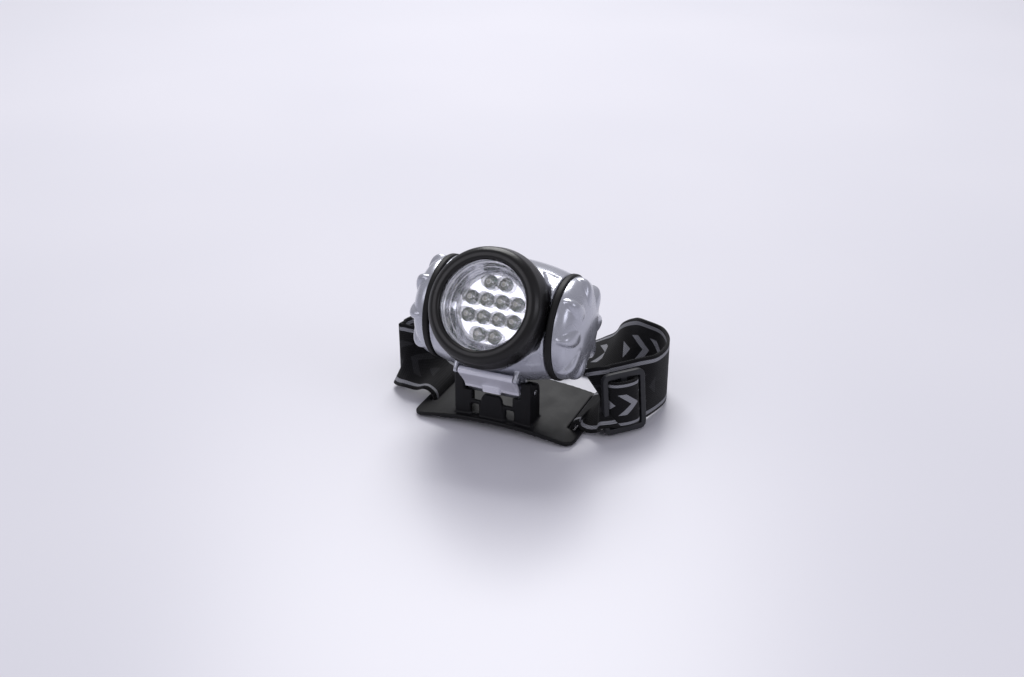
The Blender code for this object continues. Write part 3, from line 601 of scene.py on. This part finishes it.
def button_cap():
    outline = [(19.6, 0.0), (19.6, 4.6), (20.1, 4.6), (20.1, BUTTON_R), (BUTTON_TOP, BUTTON_R - 0.15),
               (BUTTON_TOP, 2.4), (BUTTON_TOP - 0.35, 1.6), (BUTTON_TOP - 0.45, 0.0)]
    bm = turned(rounded(outline, 0.6, 5, closed=False), 64, "X", closed=False)
    bmesh.ops.rotate(bm, cent=(0, 0, 0), matrix=Matrix.Rotation(-math.pi / 2, 3, "Y"), verts=bm.verts)
    bmesh.ops.rotate(bm, cent=(0, 0, 0), matrix=Matrix.Rotation(-BUTTON_BACK, 3, "X"), verts=bm.verts)
    return in_head(bm)


settle(button_cap(), "button_cap", nitrile, "rubber", "switch_button", "switch_button")


# --- Latch ----------------------------------------------------------------------------------------
# A snap latch under the bezel holds the case shut. It is the same lacquered ABS, painted a shade
# paler to stand in for the light it catches from the pale floor, with a rolled lip and four
# moulded ridges across its thumb tab.
RIDGE_COUNT = 4
RIDGE_R = 0.32
RIDGE_LENGTH = 6.4
RIDGE_FIRST = Vector((0.0, 0.0, -27.15))
RIDGE_LAST = Vector((0.0, 1.75, -28.85))
# Painted light: the paler colour and low metal share make the same silver look lit by the floor.
latch_lit_lacquer = metallic_lacquer("floor_lit_lacquer", "#d8d8e4", "#ececf6", 0.3, metal=0.15)


def ridged_latch():
    bm = merged_copy("case_latch")
    for index in range(RIDGE_COUNT):
        spot = RIDGE_FIRST.lerp(RIDGE_LAST, index / (RIDGE_COUNT - 1))
        ridge = Matrix.Translation(spot) @ Matrix.Rotation(math.pi / 2, 4, "Y")
        bmesh.ops.create_cone(bm, cap_ends=True, segments=16, radius1=RIDGE_R, radius2=RIDGE_R,
                              depth=RIDGE_LENGTH, matrix=HEAD_PLACE @ ridge)
    return eased(bm, voxel=0.2, rounds=2)


settle(ridged_latch(), "snap_latch", latch_lit_lacquer, "silver_paint", "case_latch", "case_latch", sharp=60.0)


# --- Pins -----------------------------------------------------------------------------------------
# The head tilts on one bright steel pin, and the latch turns on a thinner one. Both are drawn rod,
# cut to length, with the ends just broken.

def rod(node, radius):
    low, high = (Vector(corner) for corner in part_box(node))
    centre = (low + high) / 2
    half = (high.x - low.x) / 2 / MM
    outline = [(-half, 0.0), (-half, radius), (half, radius), (half, 0.0)]
    bm = turned(rounded(outline, 0.25, 3, closed=False), 40, "X", closed=False)
    bmesh.ops.transform(bm, matrix=Matrix.Translation(centre) @ Matrix.Scale(MM, 4), verts=bm.verts)
    return bm


settle(rod("hinge_pin", 1.1), "tilt_pin", spring_steel, "steel", "base", "hinge_pin")
settle(rod("latch_pin", 0.55), "latch_rod", spring_steel, "steel", "head", "latch_pin")


# --- Cells and contacts ---------------------------------------------------------------------------
# Three AAA cells lie along the barrel between nickel-plated plates, each pressed by a conical
# spring, on a black tray. They keep their CAD shapes; a printed foil jacket wraps each cell.

def cell_jacket():
    """Printed foil: dark blue with a bare band at one end, glossy, with rubbed patches."""
    look, tree, shader = finish_of("foil_jacket", Metallic=0.4, Coat_Weight=0.6, Coat_Roughness=0.1)
    place = add_node(tree, "ShaderNodeTexCoord", {}).outputs["Object"]
    parts = add_node(tree, "ShaderNodeSeparateXYZ", {}, {"Vector": place})
    band = add_node(tree, "ShaderNodeMath", {"operation": "GREATER_THAN", 1: 8 * MM}, {0: parts.outputs["X"]})
    scuff = add_node(tree, "ShaderNodeTexNoise", {"Scale": 1 / (2 * MM), "Detail": 4.0}, {"Vector": place})
    tint = add_node(tree, "ShaderNodeMixRGB", {"Color1": linear("#23324f"), "Color2": linear("#b9bcc4")},
                    {"Fac": band.outputs["Value"]})
    gloss = add_node(tree, "ShaderNodeMapRange", {"To Min": 0.2, "To Max": 0.45},
                     {"Value": scuff.outputs["Fac"]})
    tree.links.new(tint.outputs["Color"], shader.inputs["Base Color"])
    tree.links.new(gloss.outputs["Result"], shader.inputs["Roughness"])
    return look


def dress(look, *nodes):
    """Give CAD pieces that keep their shape a finish of their own."""
    for node in nodes:
        mesh = frame["nodes"][node].data
        mesh.materials.clear()
        mesh.materials.append(look)


nickel = plain_metal("nickel_plate", "#c8c4ba", 0.18, 0.3, 1.5)
dress(cell_jacket(), "battery_1", "battery_2", "battery_3")
dress(spring_steel, "battery_spring_1", "battery_spring_2", "battery_spring_3")
dress(nickel, "contact_plate_left", "contact_plate_right")
dress(black_abs, "battery_tray", "switch_module")


# --- Strap ----------------------------------------------------------------------------------------
# One length of 25 mm elastic webbing, woven in black with a grey line by each edge and a row of
# pale chevrons down the middle. It is laid as a flat band along its folds and loops.
STRAP_WIDTH = 25.2
STRAP_THICK = 1.25
FLOOR_Z = -1.6
BACK_SHIFT = 10000.0
RIB_PITCH = 1.1
CORD_PITCH = 0.9
STRIPE_INSIDE = 9.7
STRIPE_OUTSIDE = 11.2
CHEVRON_PITCH = 9.0
CHEVRON_SHARE = 0.36
CHEVRON_REACH = 5.6
GROUP_PITCH = 36.0
GROUP_SHARE = 0.75
# The band's middle line as (x, y, height above the table) with the direction of its width.
STRAP_LEFT = [
    (-28.4, 1.0, 1.2, 0, 1, 0), (-29.4, 1.0, 4.2, 0, 1, 0), (-33.0, 1.0, 6.0, 0, 1, 0),
    (-37.0, 0.8, 7.6, 0, 0.95, 0.3), (-42.0, 0.2, 10.8, 0, 0.7, 0.7), (-46.0, -0.6, 13.0, 0, 0.2, 0.98),
    (-48.6, 0.2, 13.2, 0, 0, 1), (-48.4, 3.0, 13.2, 0, 0, 1), (-46.4, 7.0, 12.8, -0.3, 0, 0.95),
    (-44.2, 13.0, 9.6, -0.7, 0.1, 0.7), (-43.4, 20.0, 5.6, -0.92, 0.1, 0.36),
    (-43.0, 28.0, 1.8, -0.97, 0.2, 0), (-41.0, 36.0, 3.5, -0.75, 0.66, 0), (-36.0, 42.0, 6.5, -0.4, 0.92, 0),
]
STRAP_RIGHT = [
    (18.0, 45.0, 4.2, 0.2, 0.9, 0.3), (26.0, 43.5, 8.2, 0.35, 0.65, 0.62),
    (34.0, 42.6, 11.2, 0.25, 0.4, 0.86), (41.5, 41.0, 13.0, 0, 0, 1), (47.2, 37.6, 13.2, 0, 0, 1),
    (51.6, 31.0, 13.2, 0, 0, 1), (53.4, 23.0, 13.2, 0, 0, 1), (52.0, 14.5, 13.2, 0, 0, 1),
    (48.2, 8.0, 13.2, -0.1, 0.1, 0.99), (43.6, 3.0, 12.9, -0.12, 0.11, 0.986),
    (39.4, -1.6, 12.9, -0.12, 0.11, 0.986), (37.4, -3.4, 12.9, -0.05, 0.14, 0.985),
    (36.2, -1.4, 9.6, -0.2, 0.85, 0.45), (33.4, 0.8, 6.4, 0, 1, 0.04), (29.4, 1.0, 4.4, 0, 1, 0),
    (28.4, 1.0, 1.2, 0, 1, 0),
]
STACK_Y = 46.0
STACK_LEFT_X = -33.0
STACK_RIGHT_X = 6.0
STACK_PITCH = 1.8
STACK_LAYERS = 5


def strap_stack():
    """The spare length, folded flat in layers behind the lamp, from the top layer down."""
    points = []
    for layer in reversed(range(STACK_LAYERS)):
        height = 0.95 + STACK_PITCH * layer
        run = [STACK_LEFT_X, (STACK_LEFT_X + STACK_RIGHT_X) / 2, STACK_RIGHT_X]
        if layer % 2:
            run.reverse()
        points += [(x, STACK_Y, height, 0, 1, 0) for x in run]
        if layer:
            turn_x = run[-1] + math.copysign(1.3, run[-1] - run[0])
            points.append((turn_x, STACK_Y, height - STACK_PITCH / 2, 0, 1, 0))
    return points


def smooth(points, cuts):
    """A Catmull-Rom curve through rows of numbers."""
    rows = [points[0], *points, points[-1]]
    found = []
    for first, second, third, fourth in zip(rows, rows[1:], rows[2:], rows[3:]):
        for cut in range(cuts):
            t = cut / cuts
            found.append([0.5 * (2 * b + (c - a) * t + (2 * a - 5 * b + 4 * c - d) * t * t
                                 + (3 * b - a - 3 * c + d) * t ** 3)
                          for a, b, c, d in zip(first, second, third, fourth)])
    found.append(list(points[-1]))
    return found


def band_section(width):
    """The band's cross-section, with rounded edges: (across, up, width coordinate, on its back)."""
    half = width / 2
    shrink = STRAP_WIDTH / width
    thick = STRAP_THICK / 2
    count = 16
    front = []
    for index in range(count + 1):
        v = -half + 0.35 + (2 * half - 0.7) * index / count
        front.append((v, thick, v * shrink, False))
    back = [(v, -up, spot, True) for v, up, spot, _ in reversed(front)]
    return [(-half, 0.0, -half * shrink, False), *front, (half, 0.0, half * shrink, True), *back]


def woven_band(points, cuts, width):
    """Loft the band's section along its path, each section raised whole where it would sink in the table.

    The weave map counts metres along and across the band.
    """
    rows = smooth(points, cuts)
    centres = [Vector(row[:3]) for row in rows]
    section = band_section(width)
    bm = bmesh.new()
    weave = bm.loops.layers.uv.new("weave")
    rings = []
    lengths = [0.0]
    for index, (centre, row) in enumerate(zip(centres, rows)):
        ahead = centres[min(index + 1, len(rows) - 1)] - centres[max(index - 1, 0)]
        wide = Vector(row[3:])
        wide = (wide - ahead * wide.dot(ahead) / ahead.length_squared).normalized()
        normal = ahead.cross(wide).normalized()
        spots = [centre + wide * v + normal * up for v, up, _, _ in section]
        lift = Vector((0.0, 0.0, max(0.0, -min(spot.z for spot in spots))))
        rings.append([bm.verts.new(spot + lift) for spot in spots])
        if index:
            lengths.append(lengths[-1] + (centre - centres[index - 1]).length)
    for index in range(len(rings) - 1):
        for place in range(len(section)):
            far = (place + 1) % len(section)
            face = bm.faces.new((rings[index][place], rings[index][far], rings[index + 1][far],
                                 rings[index + 1][place]))
            behind = section[place][3]
            corners = ((place, index), (far, index), (far, index + 1), (place, index + 1))
            for loop, (across_at, along_at) in zip(face.loops, corners):
                loop[weave].uv = ((lengths[along_at] + BACK_SHIFT * behind) * MM, section[across_at][2] * MM)
    for ring in (rings[0], rings[-1]):
        bm.faces.new(ring)
    bmesh.ops.recalc_face_normals(bm, faces=bm.faces)
    bmesh.ops.translate(bm, verts=bm.verts, vec=(0, 0, FLOOR_Z))
    bmesh.ops.scale(bm, vec=(MM, MM, MM), verts=bm.verts)
    return bm, lengths[-1]


def elastic_webbing():
    """Black polyester over rubber cores. Ribs and cords are drawn a little coarse, so they show,
    and painted shade darkens the hollows between them.
    """
    look, tree, shader = finish_of("elastic_webbing", Sheen_Weight=0.08, Sheen_Roughness=0.5,
                                   Specular_IOR_Level=0.2)
    spot = add_node(tree, "ShaderNodeUVMap", {"uv_map": "weave"}).outputs["UV"]
    parts = add_node(tree, "ShaderNodeSeparateXYZ", {}, {"Vector": spot})
    values = {"along": parts.outputs["X"], "across": parts.outputs["Y"]}
    steps = (
        ("rib_turn", "MULTIPLY", "along", 2 * math.pi / (RIB_PITCH * MM)),
        ("ribs", "SINE", "rib_turn"),
        ("cord_turn", "MULTIPLY", "across", 2 * math.pi / (CORD_PITCH * MM)),
        ("cords", "SINE", "cord_turn"),
        ("crossing", "MULTIPLY", "ribs", "cords"),
        ("height", "MULTIPLY_ADD", "crossing", 0.5, 0.5),
        ("edge", "ABSOLUTE", "across"),
        ("within_rim", "LESS_THAN", "edge", STRIPE_OUTSIDE * MM),
        ("past_middle", "GREATER_THAN", "edge", STRIPE_INSIDE * MM),
        ("stripe", "MULTIPLY", "within_rim", "past_middle"),
        ("on_back", "GREATER_THAN", "along", BACK_SHIFT / 2 * MM),
        ("lean", "MULTIPLY_ADD", "edge", 0.9, "along"),
        ("bar_count", "DIVIDE", "lean", CHEVRON_PITCH * MM),
        ("bar_run", "FRACT", "bar_count"),
        ("bars", "LESS_THAN", "bar_run", CHEVRON_SHARE),
        ("group_count", "DIVIDE", "along", GROUP_PITCH * MM),
        ("group_run", "FRACT", "group_count"),
        ("groups", "LESS_THAN", "group_run", GROUP_SHARE),
        ("grouped", "MULTIPLY", "bars", "groups"),
        ("inner", "LESS_THAN", "edge", CHEVRON_REACH * MM),
        ("chevrons", "MULTIPLY", "grouped", "inner"),
        ("side_share", "MULTIPLY_ADD", "on_back", -0.8, 0.85),
        ("shown", "MULTIPLY", "chevrons", "side_share"),
        ("border", "MULTIPLY", "stripe", 0.8),
        ("pale", "MAXIMUM", "shown", "border"),
        # Painted shade: the pale marks dim where the weave is low and brighten on its crowns.
        ("hollow_shade_share", "MULTIPLY_ADD", "height", 0.5, 0.6),
        ("pale_with_hollow_shade", "MULTIPLY", "pale", "hollow_shade_share"),
        ("rough", "MULTIPLY_ADD", "height", -0.15, 0.9),
    )
    for result, operation, *terms in steps:
        numbers = {place: term for place, term in enumerate(terms) if not isinstance(term, str)}
        sources = {place: values[term] for place, term in enumerate(terms) if isinstance(term, str)}
        step = add_node(tree, "ShaderNodeMath", {"operation": operation, **numbers}, sources)
        values[result] = step.outputs["Value"]
    # Painted shade: the black ground is darker where the weave is low, in the hollows between threads.
    hollow_shaded_ground = add_node(tree, "ShaderNodeMixRGB", {"Color1": linear("#050506"), "Color2": linear("#17171a")},
                      {"Fac": values["height"]})
    tint = add_node(tree, "ShaderNodeMixRGB", {"Color2": linear("#a5a6ad")},
                    {"Fac": values["pale_with_hollow_shade"], "Color1": hollow_shaded_ground.outputs["Color"]})
    bump = add_node(tree, "ShaderNodeBump", {"Strength": 0.8, "Distance": 0.18 * MM},
                    {"Height": values["height"]})
    tree.links.new(tint.outputs["Color"], shader.inputs["Base Color"])
    tree.links.new(values["rough"], shader.inputs["Roughness"])
    tree.links.new(bump.outputs["Normal"], shader.inputs["Normal"])
    return look


band, band_length = woven_band(STRAP_LEFT + strap_stack() + STRAP_RIGHT, 12, STRAP_WIDTH)
webbing = elastic_webbing()
strap = settle(band, "elastic_strap", webbing, "webbing", "base", "head_strap", sharp=70.0)


# --- Slider ---------------------------------------------------------------------------------------
# The three-bar slider that sets the strap's length is dark grey acetal, moulded with soft edges.
# The strap comes through one window, over the middle bar and back through the other.
SLIDER_CENTRE = (45.3, -1.6, 10.6)
SLIDER_TURN = math.radians(48.0)
SLIDER_LEAN = math.radians(-8.0)
TUCK_WIDTH = 18.2


def tucked_webbing():
    """The short bulge of webbing in front of the slider's middle bar."""
    turn = Matrix.Rotation(SLIDER_TURN, 3, "Z") @ Matrix.Rotation(SLIDER_LEAN, 3, "X")
    upright = turn @ Vector((0.0, 0.0, 1.0))
    floor = Vector((0.0, 0.0, -FLOOR_Z))
    points = []
    for x, y in ((-6.0, 0.9), (-5.4, -0.6), (-3.6, -2.2), (0.0, -2.9), (3.6, -2.2), (5.4, -0.6), (6.0, 0.9)):
        points.append((*(Vector(SLIDER_CENTRE) + floor + turn @ Vector((x, y, 0.0))), *upright))
    bm, _ = woven_band(points, 8, TUCK_WIDTH)
    return bm


grey_acetal = moulded_plastic("grey_acetal", "#1c1d21", "#292a2f", 0.36, 0.48, 0.5, 0.03, level=0.4)
settle(eased(merged_copy("strap_buckle"), voxel=0.25, rounds=3), "strap_slider", grey_acetal,
       "grey_plastic", "base", "strap_buckle", sharp=70.0)
settle(tucked_webbing(), "tucked_webbing", webbing, "webbing", "base", sharp=70.0)


# --- Floor, light and camera ----------------------------------------------------------------------
# The lamp lies on a pale seamless sheet of satin laminate, under large soft lights. The camera
# looks down at its front from the right.
AZIMUTH = math.radians(23.3)
ELEVATION = math.radians(26.4)
CAMERA_AWAY = 470.0
FOCAL = 46.67
AIM_ASIDE = 10.21
AIM_DOWN = 11.87
FLOOR_GAP = 0.2
FLOOR_REACH = 6.0


def pale_sheet():
    look, tree, shader = finish_of("pale_sheet", IOR=1.45)
    place = add_node(tree, "ShaderNodeTexCoord", {}).outputs["Object"]
    cloud = add_node(tree, "ShaderNodeTexNoise", {"Scale": 1 / (160 * MM), "Detail": 1.0}, {"Vector": place})
    tint = add_node(tree, "ShaderNodeMixRGB", {"Color1": linear("#dedee6"), "Color2": linear("#e4e3ea")},
                    {"Fac": cloud.outputs["Fac"]})
    gloss = add_node(tree, "ShaderNodeMapRange", {"To Min": 0.3, "To Max": 0.36},
                     {"Value": cloud.outputs["Fac"]})
    tree.links.new(tint.outputs["Color"], shader.inputs["Base Color"])
    tree.links.new(gloss.outputs["Result"], shader.inputs["Roughness"])
    return look


def add_floor():
    bm = bmesh.new()
    bmesh.ops.create_grid(bm, x_segments=2, y_segments=2, size=FLOOR_REACH)
    bmesh.ops.translate(bm, verts=bm.verts, vec=(0, 0, (FLOOR_Z - FLOOR_GAP) * MM))
    mesh = bpy.data.meshes.new("floor")
    bm.to_mesh(mesh)
    bm.free()
    mesh.materials.append(pale_sheet())
    floor = bpy.data.objects.new("floor", mesh)
    bpy.context.scene.collection.objects.link(floor)


def add_light(name, place, aim, size, power, colour):
    lamp = bpy.data.lights.new(name, "AREA")
    lamp.size = size
    lamp.energy = power
    lamp.color = linear(colour)[:3]
    light = bpy.data.objects.new(name, lamp)
    light.location = place
    light.rotation_euler = (Vector(aim) - Vector(place)).to_track_quat("-Z", "Y").to_euler()
    bpy.context.scene.collection.objects.link(light)


def add_camera():
    view = Vector((math.sin(AZIMUTH) * math.cos(ELEVATION), -math.cos(AZIMUTH) * math.cos(ELEVATION),
                   math.sin(ELEVATION)))
    right = Vector((math.cos(AZIMUTH), math.sin(AZIMUTH), 0.0))
    up = view.cross(right)
    lens_centre = middle + beam * LENS_FRONT * MM
    camera = bpy.data.objects.new("camera", bpy.data.cameras.new("camera"))
    camera.location = lens_centre + (right * AIM_ASIDE - up * AIM_DOWN + view * CAMERA_AWAY) * MM
    camera.rotation_euler = (-view).to_track_quat("-Z", "Y").to_euler()
    camera.data.lens = FOCAL
    camera.data.clip_start = 0.01
    bpy.context.scene.collection.objects.link(camera)
    bpy.context.scene.camera = camera


def add_surround():
    world = bpy.data.worlds.new("studio")
    world.use_nodes = True
    sky = world.node_tree.nodes["Background"]
    sky.inputs["Color"].default_value = linear("#e6e5ee")
    sky.inputs["Strength"].default_value = 0.55
    bpy.context.scene.world = world
    bpy.context.scene.view_settings.view_transform = "Standard"


add_floor()
add_surround()
add_light("high_back", (-0.35, 0.75, 1.0), (0.0, 0.0, 0.02), size=0.7, power=11.0, colour="#ffffff")
add_light("front_fill", (-0.6, -1.0, 0.9), (0.0, 0.0, 0.03), size=0.6, power=2.0, colour="#f8f6ff")
add_light("side_fill", (1.0, -0.3, 0.6), (0.0, 0.0, 0.03), size=0.4, power=1.2, colour="#f4f4ff")
add_camera()
